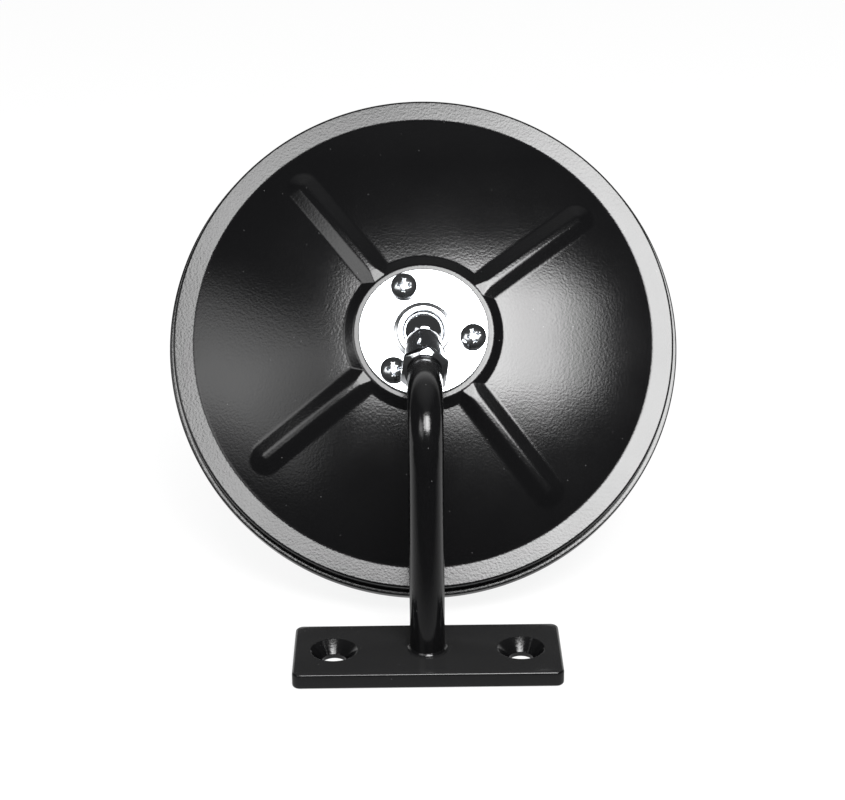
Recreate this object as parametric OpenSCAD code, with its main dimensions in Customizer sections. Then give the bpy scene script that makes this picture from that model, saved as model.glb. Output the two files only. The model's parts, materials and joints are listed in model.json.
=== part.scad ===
// Round convex security mirror on a ball joint, carried by a bent rod welded to a base plate.
// The base plate lies on z = 0 with its centre at the origin. The rod rises along z and then runs along +y.
// The head is drawn about its own axis, with its flat back ring at height 0, and then set on the ball.

/* [Base plate] */
// Length of the base plate
plate_l = 100; // [92:1:140]
// Width of the base plate
plate_w = 39; // [32:1:60]
// Thickness of the base plate
plate_t = 6; // [5.5:0.5:10]
// Radius of the plate's four upright corners
plate_corner_r = 3; // [1.5:0.5:8]
// Radius along the plate's long and short edges
plate_edge_r = 1; // [0.5:0.25:2]
// Distance from each end of the plate to its fixing hole
hole_inset = 15; // [12:0.5:25]
// Diameter of each fixing hole
hole_d = 9; // [6:0.5:11]
// Diameter of each countersink at the top face
countersink_d = 17.8; // [14:0.2:19]

/* [Arm] */
// Diameter of the rod
rod_d = 13; // [12:0.5:16]
// Height of the level leg's axis above the base plate's underside
leg_h = 103; // [102:1:160]
// Distance from the upright's axis to the end of the full rod
leg_reach = 34.5; // [30:0.5:80]
// Radius of the bend, at the rod's axis
bend_r = 22; // [14:1:28]
// Size of the weld fillet around the rod's foot
weld_leg = 1.6; // [1:0.2:4]
// Diameter of the thread turned on the rod's end
thread_d = 10; // [8:0.5:11]
// Length of the thread turned on the rod's end
thread_l = 19; // [14:0.5:24]

/* [Lock nut and ball stud] */
// Width of the lock nut across its flats
nut_af = 17; // [16:0.5:20]
// Thickness of the lock nut
nut_t = 5; // [4.5:0.5:8]
// Angle at which the tightened lock nut stands
nut_turn = 14; // [0:1:59]
// Diameter of the stud's body
stud_d = 14.6; // [13.5:0.2:15]
// Length of the stud's body
stud_l = 24.5; // [20:0.5:36]
// Bevel on the ends of the stud's body
stud_bevel = 0.8; // [0.2:0.1:1.5]
// Diameter of the slim neck below the ball
neck_d = 6; // [4.5:0.25:6.25]
// Gap between the stud's body and the ball, which the neck bridges
neck_gap = 2.7; // [2.6:0.1:5]
// Diameter of the ball
ball_d = 19; // [18:0.25:19.5]

/* [Pose of the head] */
// Tilt of the back above the level, as far as the joint lets it go
head_tilt = 33.5; // [0:0.5:34]
// Turn of the head about its own axis
head_turn = -7.5; // [-180:0.5:180]

/* [Ball socket] */
// Height of the ball's centre above the flat back ring
ball_h = 7.6; // [7:0.1:9]
// Height of the clamp plate's outer face above the ball's centre
clamp_rise = 5.2; // [4.8:0.1:5.6]
// Overhang of the clamp plate past the socket cup's flange
clamp_border = 0.45; // [0.2:0.05:1]
// Thickness of the clamp plate
clamp_t = 1.6; // [1.2:0.1:2]
// Grip of the clamp plate's opening over the ball, on the radius
opening_grip = 1.5; // [1.3:0.05:1.6]
// Distance from the opening's edge to the outer foot of the raised collar
collar_out = 3.4; // [3:0.1:4]
// Width of the raised collar
collar_w = 3.8; // [3.4:0.1:4.4]
// Height of the raised collar
collar_h = 1.2; // [0.6:0.1:1.4]
// Wall of the seat pad at the height of the ball's centre
pad_wall = 2.6; // [2:0.1:3.5]
// Wall of the socket cup
cup_t = 1.2; // [0.8:0.1:1.6]
// Width of the socket cup's flange
flange_w = 11; // [10.8:0.1:14]
// Drop of the seat pad's rim below the ball's centre
pad_drop = 1; // [0.5:0.1:3]
// Thickness of the seat pad under the ball
pad_floor = 2.2; // [1.5:0.1:4]
// Height of the spring washer
spring_h = 1.8; // [1.2:0.1:3]
// Thickness of the spring washer's sheet
spring_t = 0.8; // [0.5:0.1:1]
// Gap around the spring washer, past the seat pad's play
spring_gap = 0.55; // [0.2:0.05:2]
// Hole in the spring washer
spring_hole_d = 12; // [8:0.5:15]

/* [Clamp screws] */
// Distance from the socket cup's wall to the screws
screw_inset = 5.6; // [5.4:0.1:6.2]
// Diameter of the screws' shanks
screw_d = 5; // [4:0.5:5]
// Length of the screws under the head
screw_l = 12; // [9:0.5:16]
// Diameter of the pan heads
head_d = 10.2; // [8:0.2:10.4]
// Height of the pan heads
head_h = 3.4; // [2.6:0.1:4]
// Height of the pan heads at their edge
head_edge_h = 1.9; // [1.2:0.1:2.2]
// Width of the slots of the cross recess
recess_w = 1.4; // [0.8:0.1:1.8]
// Length of the slots of the cross recess
recess_l = 5.4; // [4:0.1:6]
// Depth of the cross recess
recess_deep = 2; // [1:0.1:2.2]
// Width of the weld nuts across their flats
weld_nut_af = 8.6; // [8:0.1:9]
// Height of the weld nuts
weld_nut_t = 4.5; // [3:0.5:6]

/* [Back shell] */
// Thickness of the shell's sheet
sheet = 1; // [0.8:0.1:1.2]
// Step from the shell's side wall out to the rim band
rim_step = 1.9; // [1.6:0.1:3]
// Rounding between the flat ring and the side wall
wall_edge_r = 1.2; // [1.2:0.1:2]
// Width of the flat ring, from the side wall to the dome
ring_w = 8.5; // [5:0.5:16]
// Height of the boss's top above the dome at the foot of its wall
boss_h = 1.4; // [1.3:0.1:3]
// Border of the boss that shows around the clamp plate
boss_border = 1.95; // [1.75:0.05:4]
// Flare of the boss's wall from its top down to the dome
boss_flare = 3.8; // [3:0.1:6]
// Rounding of the boss's top edge
boss_edge_r = 1.4; // [0.6:0.1:2]
// Ledge of the boss over the socket cup's mouth
boss_ledge = 0.8; // [0:0.1:1.2]

/* [Ribs] */
// Number of ribs pressed into the shell
rib_count = 4; // [3:1:6]
// Angle of the first rib from the first screw
rib_start = 45; // [0:1:90]
// Width of a rib at its foot
rib_w = 12.6; // [10:0.2:16]
// Width of a rib's flat crest
rib_crest_w = 1.6; // [1:0.1:3]
// Height of a rib's crest above the dome
rib_h = 1.25; // [0.9:0.05:1.3]
// Reach of a rib into the boss
rib_overlap = 1.2; // [0.5:0.1:2]
// Distance from the end of a rib's crest to the flat ring
rib_end_gap = 12.6; // [11:0.2:30]
// Drop of a rib's crest below the boss where it runs into it
rib_drop = 0.15; // [0.1:0.05:0.6]

/* [Rim and mirror] */
// Outer radius of the rim band
band_r = 100.5; // [92:0.5:125]
// Thickness of the rim band's sheet
band_t = 0.7; // [0.5:0.05:0.8]
// Rounding of the rim band's outer edges
band_edge_r = 0.9; // [0.9:0.05:1.3]
// Depth of the rim band's top below the flat ring
band_drop = 8; // [4:0.5:14]
// Depth of the channel in the rim gasket, between the shell's lip and the band's front lip
gasket_h = 4.4; // [4.2:0.1:6]
// Width of the rim gasket
gasket_w = 3.4; // [3:0.1:5]
// Width of the band's front lip
band_lip_w = 3.6; // [3:0.1:5]
// Thickness of the mirror glass
glass_t = 3; // [2:0.1:3]
// Radius of the mirror's bulge
glass_bulge_r = 500; // [400:10:900]
// Gasket web outside the mirror's edge
gasket_web = 0.9; // [0.6:0.1:1.5]
// Gasket under the front of the mirror's edge
gasket_front = 0.9; // [0.8:0.1:1.2]

/* [Clearances] */
// Play of threads and of screws in their nuts, on the radius
thread_play = 0.1; // [0.05:0.01:0.2]
// Play of screws in their clearance holes, on the radius
hole_play = 0.25; // [0.2:0.05:0.5]
// Play around the ball, on the radius
ball_play = 0.25; // [0.2:0.05:0.4]
// Play between the seat pad and the socket cup
pad_play = 0.25; // [0.2:0.05:0.4]
// Play between pieces that are pressed or rolled together
seat_play = 0.05; // [0.02:0.01:0.1]

/* [Hidden] */
$fn = 96;
slack = 1;
screw_count = 3;
nut_face_share = 0.43;
screw_turns = [22, 64, 40];

coat = "#1c1c1e";
plating = "#d9dadc";
nylon = "#e8e5d8";
rubber = "#232323";
spring_steel = "#8b9097";
mirror = "#c7d0d6";

hole_spacing = plate_l - 2 * hole_inset;

// Places along the level leg
nut_y = leg_reach + thread_play;
stud_y = nut_y + nut_t;
neck_l = ball_d / 2 + neck_gap;
ball_y = stud_y + stud_l + neck_l;
stud_bore_l = thread_l - nut_t + slack;

// Radii in the head, outwards from the ball and inwards from the rim band
seat_r = ball_d / 2 + ball_play;
opening_r = ball_d / 2 - opening_grip;
cup_r = seat_r + pad_wall + pad_play;
spring_r = cup_r - pad_play - spring_gap;
screw_circle_r = cup_r + cup_t + screw_inset;
flange_r = cup_r + cup_t + flange_w;
clamp_r = flange_r + clamp_border;
boss_hole_r = cup_r - boss_ledge;
boss_top_r = clamp_r + boss_border;
boss_base_r = boss_top_r + boss_flare;
wall_r = band_r - rim_step;
ring_in_r = wall_r - ring_w;
rib_in_r = boss_top_r - rib_overlap;
rib_out_r = ring_in_r - rib_end_gap;

// Heights in the head, from the flat back ring
clamp_top_h = ball_h + clamp_rise;
boss_top_h = clamp_top_h - clamp_t;
boss_in_h = boss_top_h - sheet;
flange_in_h = boss_in_h - cup_t;
pad_top_h = ball_h - pad_drop;
pad_bottom_h = ball_h - seat_r - pad_floor;
cup_floor_h = pad_bottom_h - spring_h - thread_play;
collar_mid_r = opening_r + collar_out - collar_w / 2;
collar_tube_r = (collar_w * collar_w / 4 + collar_h * collar_h) / (2 * collar_h);
head_dome_h = head_h - head_edge_h;
head_dome_r = (head_d * head_d / 4 + head_dome_h * head_dome_h) / (2 * head_dome_h);

// The dome is part of a sphere through the flat ring's inner edge and the foot of the boss's wall
boss_base_h = boss_top_h - boss_h;
dome_c_h = (boss_base_h * boss_base_h + boss_base_r * boss_base_r - ring_in_r * ring_in_r) / (2 * boss_base_h);
dome_r = sqrt(ring_in_r * ring_in_r + dome_c_h * dome_c_h);
dome_rise = dome_c_h + dome_r;
boss_slope = atan2(boss_h, boss_flare);
boss_round = boss_edge_r * tan(boss_slope / 2);

// A rib's section goes on into the sheet with the slope of its flanks
rib_deep = rib_h + sheet / 2;
rib_foot_r = rib_crest_w / 2 + (rib_w - rib_crest_w) / 2 * rib_deep / rib_h;
rib_in_a = asin(rib_in_r / dome_r);
rib_out_a = asin(rib_out_r / dome_r);

// The rim band holds the shell's lip, the gasket and the mirror's edge
band_top_h = -band_drop;
lip_top_h = band_top_h - band_t;
lip_bottom_h = lip_top_h - sheet;
lip_r = band_r - band_t - seat_play;
lip_edge_r = band_edge_r - band_t;
gasket_bottom_h = lip_bottom_h - gasket_h;
band_front_h = gasket_bottom_h - band_t;
glass_r = lip_r - gasket_web;
glass_edge_h = gasket_bottom_h + gasket_front;
glass_sag = glass_bulge_r - sqrt(glass_bulge_r * glass_bulge_r - glass_r * glass_r);
glass_c_h = glass_edge_h - glass_sag + glass_bulge_r;

// Sets children along the level leg, at a distance from the upright's axis
module on_leg(y) {
    translate([0, y, leg_h])
        rotate([-90, 0, 0])
            children();
}

// Sets children in the head, at a height above the flat back ring
module on_head(h = 0) {
    translate([0, ball_y, leg_h])
        rotate([90 - head_tilt, 0, 0])
            rotate([0, 0, head_turn])
                translate([0, 0, h - ball_h])
                    children();
}

// Sets children at the place of one clamp screw
module at_screw(i) {
    rotate([0, 0, i * 360 / screw_count])
        translate([screw_circle_r, 0, 0])
            children();
}

// A rectangle about the origin with round corners
module rounded_rect(w, h, r) {
    square([w - 2 * r, h], center = true);
    square([w, h - 2 * r], center = true);
    for (x = [-1, 1], y = [-1, 1])
        translate([x * (w / 2 - r), y * (h / 2 - r)])
            circle(r);
}

// A hexagon nut blank with bevelled corners
module hex_blank(across, t) {
    corner_r = across / 2 / cos(30);
    face_r = across * nut_face_share;
    bevel_h = (corner_r + slack - face_r) * tan(30);
    intersection() {
        cylinder(r = corner_r, h = t, $fn = 6);
        rotate_extrude()
            polygon([
                [0, 0], [face_r, 0], [corner_r + slack, bevel_h],
                [corner_r + slack, t - bevel_h], [face_r, t], [0, t]
            ]);
    }
}

// Base plate: round corners in plan and round edges along both sides, with two countersunk holes
module base_plate() {
    color(coat)
        difference() {
            intersection() {
                linear_extrude(plate_t)
                    rounded_rect(plate_l, plate_w, plate_corner_r);
                translate([0, 0, plate_t / 2])
                    rotate([90, 0, 0])
                        linear_extrude(plate_w + slack, center = true)
                            rounded_rect(plate_l, plate_t, plate_edge_r);
                translate([0, 0, plate_t / 2])
                    rotate([90, 0, 90])
                        linear_extrude(plate_l + slack, center = true)
                            rounded_rect(plate_w, plate_t, plate_edge_r);
            }
            for (side = [-1, 1])
                translate([side * hole_spacing / 2, 0, 0])
                    fixing_hole();
        }
}

// A through hole with a right-angled countersink from above
module fixing_hole() {
    sink = (countersink_d - hole_d) / 2;
    translate([0, 0, -slack])
        cylinder(d = hole_d, h = plate_t + 2 * slack);
    translate([0, 0, plate_t - sink])
        cylinder(d1 = hole_d, d2 = countersink_d + 2 * slack, h = sink + slack);
}

// Bent rod: upright leg, quarter bend, level leg and the thread turned on its end
module arm_rod() {
    color(coat) {
        translate([0, 0, plate_t])
            cylinder(d = rod_d, h = leg_h - bend_r - plate_t);
        translate([0, bend_r, leg_h - bend_r])
            rotate([90, 0, -90])
                rotate_extrude(angle = 90)
                    translate([bend_r, 0])
                        circle(d = rod_d);
        on_leg(bend_r)
            cylinder(d = rod_d, h = leg_reach - bend_r);
        on_leg(leg_reach)
            cylinder(d = thread_d, h = thread_l);
    }
}

// Fillet weld around the rod's foot
module foot_weld() {
    color(coat)
        translate([0, 0, plate_t])
            rotate_extrude()
                translate([rod_d / 2 + seat_play, 0])
                    polygon([[0, 0], [weld_leg, 0], [0, weld_leg]]);
}

// Thin lock nut that holds the ball stud on the rod's thread
module lock_nut() {
    color(plating)
        on_leg(nut_y)
            rotate([0, 0, -nut_turn])
                difference() {
                    hex_blank(nut_af, nut_t);
                    translate([0, 0, -slack])
                        cylinder(r = thread_d / 2 + thread_play, h = nut_t + 2 * slack);
                }
}

// Ball stud: tapped body with bevelled ends, slim neck and ball
module ball_stud() {
    color(plating)
        on_leg(stud_y)
            difference() {
                union() {
                    rotate_extrude()
                        polygon([
                            [0, 0], [stud_d / 2 - stud_bevel, 0], [stud_d / 2, stud_bevel],
                            [stud_d / 2, stud_l - stud_bevel], [stud_d / 2 - stud_bevel, stud_l],
                            [0, stud_l]
                        ]);
                    translate([0, 0, stud_l - slack])
                        cylinder(d = neck_d, h = neck_l);
                    translate([0, 0, stud_l + neck_l])
                        sphere(d = ball_d);
                }
                translate([0, 0, -slack])
                    cylinder(r = thread_d / 2 + thread_play, h = stud_bore_l + slack);
            }
}

// Plastic pad that the ball turns in
module seat_pad() {
    color(nylon)
        on_head()
            rotate_extrude()
                difference() {
                    translate([0, pad_bottom_h])
                        square([cup_r - pad_play, pad_top_h - pad_bottom_h]);
                    translate([0, ball_h])
                        circle(seat_r);
                }
}

// Coned spring washer that presses the pad against the ball
module spring_washer() {
    color(spring_steel)
        on_head(pad_bottom_h - spring_h)
            rotate_extrude()
                polygon([
                    [spring_hole_d / 2, spring_h - spring_t], [spring_r, 0],
                    [spring_r, spring_t], [spring_hole_d / 2, spring_h]
                ]);
}

// Plated clamp plate with a raised collar that holds the ball
module clamp_plate() {
    color(plating)
        on_head()
            difference() {
                rotate_extrude()
                    clamp_profile();
                for (i = [0 : screw_count - 1])
                    at_screw(i)
                        screw_hole(boss_top_h, clamp_t);
            }
}

// Half section of the clamp plate: flat disc and round collar, cut by the ball's seat and the opening
module clamp_profile() {
    difference() {
        union() {
            translate([0, boss_top_h])
                square([clamp_r, clamp_t]);
            translate([collar_mid_r, clamp_top_h + collar_h - collar_tube_r])
                circle(collar_tube_r);
        }
        translate([0, boss_top_h - 3 * collar_tube_r])
            square([clamp_r, 3 * collar_tube_r]);
        translate([0, ball_h])
            circle(seat_r);
        translate([-slack, 0])
            square([opening_r + slack, 2 * clamp_top_h]);
    }
}

// Clearance hole for a clamp screw through a sheet of thickness t that starts at height h
module screw_hole(h, t) {
    translate([0, 0, h - slack])
        cylinder(r = screw_d / 2 + hole_play, h = t + 2 * slack);
}

// Pan-head screw with a cross recess, standing on the clamp plate
module clamp_screw(i) {
    color(plating)
        on_head(clamp_top_h)
            at_screw(i)
                difference() {
                    union() {
                        intersection() {
                            cylinder(d = head_d, h = head_h);
                            translate([0, 0, head_h - head_dome_r])
                                sphere(head_dome_r);
                        }
                        translate([0, 0, -screw_l])
                            cylinder(d = screw_d, h = screw_l + head_edge_h / 2);
                    }
                    for (a = [0, 90])
                        rotate([0, 0, screw_turns[i] + a])
                            translate([-recess_l / 2, -recess_w / 2, head_h - recess_deep])
                                cube([recess_l, recess_w, recess_deep + slack]);
                }
}

// Drawn steel cup under the boss, which holds the pad and its spring and carries the weld nuts
module socket_cup() {
    color(spring_steel)
        on_head()
            difference() {
                rotate_extrude()
                    difference() {
                        union() {
                            translate([0, flange_in_h])
                                square([flange_r, cup_t]);
                            translate([0, cup_floor_h - cup_t])
                                square([cup_r + cup_t, boss_in_h - cup_floor_h + cup_t]);
                        }
                        translate([-slack, cup_floor_h])
                            square([cup_r + slack, boss_in_h - cup_floor_h + slack]);
                    }
                for (i = [0 : screw_count - 1])
                    at_screw(i)
                        screw_hole(flange_in_h, cup_t);
            }
}

// Hexagon weld nut under the socket cup's flange
module weld_nut(i) {
    color(spring_steel)
        on_head(flange_in_h - weld_nut_t)
            at_screw(i)
                difference() {
                    hex_blank(weld_nut_af, weld_nut_t);
                    translate([0, 0, -slack])
                        cylinder(r = screw_d / 2 + thread_play, h = weld_nut_t + 2 * slack);
                }
}

// Pressed steel back: domed sheet with a boss, a flat ring, a side wall, a lip and pressed ribs
module back_shell() {
    color(coat)
        on_head()
            difference() {
                union() {
                    rotate_extrude()
                        shell_outside();
                    ribs(0);
                }
                rotate_extrude()
                    shell_inside();
                ribs(sheet);
                translate([0, 0, boss_in_h - slack])
                    cylinder(r = boss_hole_r, h = sheet + 2 * slack);
                for (i = [0 : screw_count - 1])
                    at_screw(i)
                        screw_hole(boss_in_h, sheet);
            }
}

// Half section of everything under the shell's outer face
module shell_outside() {
    intersection() {
        translate([0, dome_c_h])
            circle(dome_r);
        translate([0, -sheet])
            square([ring_in_r, dome_rise + 2 * sheet]);
    }
    boss_section(boss_top_r - boss_round, boss_top_h, boss_edge_r, 0);
    translate([0, lip_bottom_h])
        square([wall_r, -lip_bottom_h - wall_edge_r]);
    translate([0, -2 * wall_edge_r])
        square([wall_r - wall_edge_r, 2 * wall_edge_r]);
    translate([wall_r - wall_edge_r, -wall_edge_r])
        circle(wall_edge_r);
    intersection() {
        translate([0, lip_bottom_h])
            square([lip_r, sheet]);
        band_section(lip_r, lip_top_h, gasket_bottom_h, lip_edge_r);
    }
}

// Half section of the boss down to the ring, with its top edge rounded
// inset is 0 for the outer face, and the sheet's thickness for the inner one
module boss_section(flat_r, top_h, edge_r, inset) {
    side = inset * tan(boss_slope / 2);
    run = 2 * edge_r * sin(boss_slope / 2) * cos(boss_slope / 2);
    fall = 2 * edge_r * sin(boss_slope / 2) * sin(boss_slope / 2);
    polygon([
        [0, -inset - sheet], [boss_base_r - side, -inset - sheet],
        [boss_base_r - side, boss_base_h - inset],
        [flat_r + run, top_h - fall], [flat_r, top_h], [0, top_h]
    ]);
    translate([flat_r, top_h - edge_r])
        circle(edge_r);
}

// Half section of everything under the shell's inner face
module shell_inside() {
    intersection() {
        translate([0, dome_c_h])
            circle(dome_r - sheet);
        translate([0, -2 * sheet])
            square([ring_in_r, dome_rise + 3 * sheet]);
    }
    boss_section(boss_top_r - boss_round, boss_in_h, boss_edge_r - sheet, sheet);
    translate([0, lip_bottom_h - slack])
        square([wall_r - sheet, slack - lip_bottom_h - sheet]);
}

// Ribs that run out over the dome, cut off level where they go into the boss
// inset is 0 for the outer face, and the sheet's thickness for the inner one
module ribs(inset) {
    for (i = [0 : rib_count - 1])
        rotate([0, 0, rib_start + i * 360 / rib_count])
            intersection() {
                translate([0, 0, dome_c_h])
                    rib_bar(dome_r + rib_h - inset);
                translate([0, -2 * rib_w, -boss_top_h])
                    cube([ring_in_r, 4 * rib_w, 2 * boss_top_h - rib_drop - inset]);
            }
}

// A bar with flat flanks, bent along an arc of the crest's radius about y, with a cone for its outer end
module rib_bar(crest_r) {
    rotate([90, 0, 0])
        rotate([0, 0, 90 - rib_out_a])
            rotate_extrude(angle = rib_out_a - rib_in_a, $fn = 720)
                polygon([
                    [crest_r - rib_deep, -rib_foot_r], [crest_r, -rib_crest_w / 2],
                    [crest_r, rib_crest_w / 2], [crest_r - rib_deep, rib_foot_r]
                ]);
    rotate([0, rib_out_a, 0])
        translate([0, 0, crest_r - rib_deep])
            cylinder(r1 = rib_foot_r, r2 = rib_crest_w / 2, h = rib_deep);
}

// Rubber channel around the mirror's edge
module rim_gasket() {
    color(rubber)
        on_head()
            rotate_extrude()
                difference() {
                    band_section(lip_r, lip_bottom_h - seat_play, gasket_bottom_h + seat_play, lip_edge_r);
                    translate([-slack, gasket_bottom_h])
                        square([lip_r - gasket_w + slack, gasket_h]);
                    glass_section(seat_play);
                }
}

// Bulged mirror glass, silvered on its inner face
module mirror_glass() {
    color(mirror)
        on_head()
            rotate_extrude()
                glass_section(0);
}

// Half section of the mirror glass, grown by a play
module glass_section(play) {
    intersection() {
        difference() {
            translate([0, glass_c_h])
                circle(glass_bulge_r + play);
            translate([0, glass_c_h])
                circle(glass_bulge_r - glass_t - play);
        }
        translate([0, glass_edge_h - glass_sag - slack])
            square([glass_r + play, glass_sag + 2 * glass_t]);
    }
}

// Rolled steel band that grips the shell's lip and the gasket
module rim_band() {
    color(coat)
        on_head()
            rotate_extrude()
                difference() {
                    band_section(band_r, band_top_h, band_front_h, band_edge_r);
                    band_section(band_r - band_t, lip_top_h, gasket_bottom_h, lip_edge_r);
                    translate([0, lip_bottom_h])
                        square([wall_r + seat_play, -lip_bottom_h]);
                    translate([0, band_front_h - slack])
                        square([band_r - band_lip_w, slack - band_front_h]);
                }
}

// Half section of a disc with round outer edges
module band_section(r, top_h, bottom_h, edge_r) {
    translate([0, bottom_h])
        square([r - edge_r, top_h - bottom_h]);
    translate([0, bottom_h + edge_r])
        square([r, top_h - bottom_h - 2 * edge_r]);
    for (h = [bottom_h + edge_r, top_h - edge_r])
        translate([r - edge_r, h])
            circle(edge_r);
}

base_plate();
arm_rod();
foot_weld();
lock_nut();
ball_stud();
seat_pad();
spring_washer();
clamp_plate();
clamp_screw(0);  // clamp_screw_1
clamp_screw(1);  // clamp_screw_2
clamp_screw(2);  // clamp_screw_3
socket_cup();
weld_nut(0);  // weld_nut_1
weld_nut(1);  // weld_nut_2
weld_nut(2);  // weld_nut_3
back_shell();
rim_gasket();
mirror_glass();
rim_band();
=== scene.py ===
"""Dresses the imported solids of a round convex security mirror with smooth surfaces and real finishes.

The mirror hangs on a ball joint from a bent rod on a base plate, and is seen from behind. Lengths are in metres.
"""

import json
import math

import bmesh
import bpy
import numpy as np
from mathutils import Matrix, Vector


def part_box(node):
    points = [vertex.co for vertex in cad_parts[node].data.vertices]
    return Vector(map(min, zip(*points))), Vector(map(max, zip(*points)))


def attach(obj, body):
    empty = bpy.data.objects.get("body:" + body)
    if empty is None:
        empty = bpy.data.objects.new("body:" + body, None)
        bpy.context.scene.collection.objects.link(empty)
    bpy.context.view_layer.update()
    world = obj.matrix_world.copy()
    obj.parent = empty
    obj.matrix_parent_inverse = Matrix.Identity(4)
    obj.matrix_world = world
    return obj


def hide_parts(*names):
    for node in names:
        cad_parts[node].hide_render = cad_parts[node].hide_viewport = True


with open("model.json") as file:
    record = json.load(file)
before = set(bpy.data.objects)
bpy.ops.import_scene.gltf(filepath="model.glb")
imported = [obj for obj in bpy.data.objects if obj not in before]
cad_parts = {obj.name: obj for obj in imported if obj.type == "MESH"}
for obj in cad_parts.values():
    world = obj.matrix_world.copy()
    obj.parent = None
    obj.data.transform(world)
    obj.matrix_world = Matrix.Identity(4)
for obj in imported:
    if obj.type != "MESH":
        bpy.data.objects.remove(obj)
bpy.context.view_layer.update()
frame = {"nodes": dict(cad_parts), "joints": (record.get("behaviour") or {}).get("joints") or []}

bl_info = {
    "name": "Convex security mirror",
    "version": (1, 0, 0),
    "blender": (4, 5, 0),
    "location": "View3D > Sidebar > Mirror",
    "description": "Builds the visible pieces of a ball-mounted convex mirror around its packed solids",
    "category": "Object",
}

MM = 0.001
IMAGE_WIDTH_PX = 845

# Edges sharper than this stay sharp in the shading
SHARP_ANGLE = math.radians(38)
# Points this near the middle line are on it, and points this near each other are one
ON_SEAM, SAME_POINT = 1e-7, 1e-6
# Columns of points round each piece, and in each quarter of the pressed back, where they crowd towards the ribs
COLUMNS = {"rod": 72, "weld": 144, "stud": 96, "nut": 216, "clamp": 192, "screw": 120, "rim": 384, "gasket": 256,
           "glass": 256, "quarter": 104}
RIB_CROWD = 0.72
# Ripples round the weld, and how far and how often they drift from even spacing
RIPPLES, DRIFT, DRIFTS = 22, 1.5, 3
# The bevel of the lock nut, the angle by which the ball stops short of its pole, and the screws' recesses
NUT_BEVEL = math.radians(30)
POLE_GAP = 0.02
RECESS_TURNS = (22, 64, 40)
RECESS_END_SLOPE, RECESS_SIDE_SLOPE = 1.5, 6

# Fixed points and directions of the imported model
SPIN = next(j for j in frame["joints"] if j["name"] == "head_spin")
BALL = np.array(SPIN["pos_m"], float)
HEAD_AXIS = np.array(SPIN["axis"], float) / np.linalg.norm(SPIN["axis"])
PLATE_LOW, PLATE_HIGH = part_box("base_plate")
ROD_LOW, ROD_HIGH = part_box("arm_rod")
NUT_LOW, NUT_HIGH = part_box("lock_nut")


def linear(hex_colour):
    """Turns an sRGB hex colour into linear red, green and blue."""
    srgb = np.array([int(hex_colour[i:i + 2], 16) for i in (1, 3, 5)]) / 255
    return tuple(np.where(srgb <= 0.04045, srgb / 12.92, ((srgb + 0.055) / 1.055) ** 2.4).tolist())


def length(name, mm, description):
    """A length property, given in millimetres and kept in metres."""
    return bpy.props.FloatProperty(
        name=name, description=description, default=mm * MM, min=0.0, unit="LENGTH", precision=5)


def turn(name, degrees, description):
    """An angle property, given in degrees and kept in radians."""
    return bpy.props.FloatProperty(
        name=name, description=description, default=math.radians(degrees), subtype="ANGLE", unit="ROTATION")


def colour(name, hex_colour, description):
    """A colour property, given as sRGB hex and kept linear."""
    return bpy.props.FloatVectorProperty(
        name=name, description=description, default=linear(hex_colour), size=3, min=0.0, max=1.0, subtype="COLOR")


class BracketSizes(bpy.types.PropertyGroup):
    """Sizes of the plate, the rod, the lock nut and the ball stud."""

    plate_corner: length("Plate corner", 3, "Radius of the plate's four upright corners")
    plate_edge: length("Plate edge", 1, "Radius along the plate's edges")
    hole_spacing: length("Hole spacing", 70, "Distance between the fixing holes")
    hole_d: length("Hole", 9, "Diameter of each fixing hole")
    countersink_d: length("Countersink", 17.8, "Diameter of each countersink at the top face")
    countersink_edge: length("Countersink edge", 0.5, "Rounding that the coat leaves on the countersink's edge")
    bend_r: length("Bend", 22, "Radius of the rod's bend at its axis")
    leg_reach: length("Leg reach", 34.5, "Distance from the upright's axis to the end of the full rod")
    rod_edge: length("Rod edge", 0.6, "Rounding of the full rod's end")
    thread_d: length("Thread", 10, "Diameter of the thread on the rod's end")
    weld_leg: length("Weld", 1.2, "Size of the weld around the rod's foot")
    weld_ripple: length("Weld ripple", 0.05, "Height of the ripples along the weld")
    nut_af: length("Nut across flats", 17, "Width of the lock nut across its flats")
    nut_face_d: length("Nut face", 14.62, "Diameter of the flat face inside the nut's bevel")
    nut_turn: turn("Nut turn", 21, "Angle at which the tightened lock nut stands")
    stud_d: length("Stud", 14.6, "Diameter of the stud's body")
    stud_l: length("Stud length", 24.5, "Length of the stud's body")
    stud_bevel: length("Stud bevel", 0.8, "Bevel on the ends of the stud's body")
    stud_bore_l: length("Stud bore", 15, "Depth of the stud's tapped bore")
    neck_d: length("Neck", 6, "Diameter of the neck below the ball")
    ball_d: length("Ball", 19, "Diameter of the ball")
    thread_play: length("Thread play", 0.1, "Play of the threads on the radius")


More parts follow.
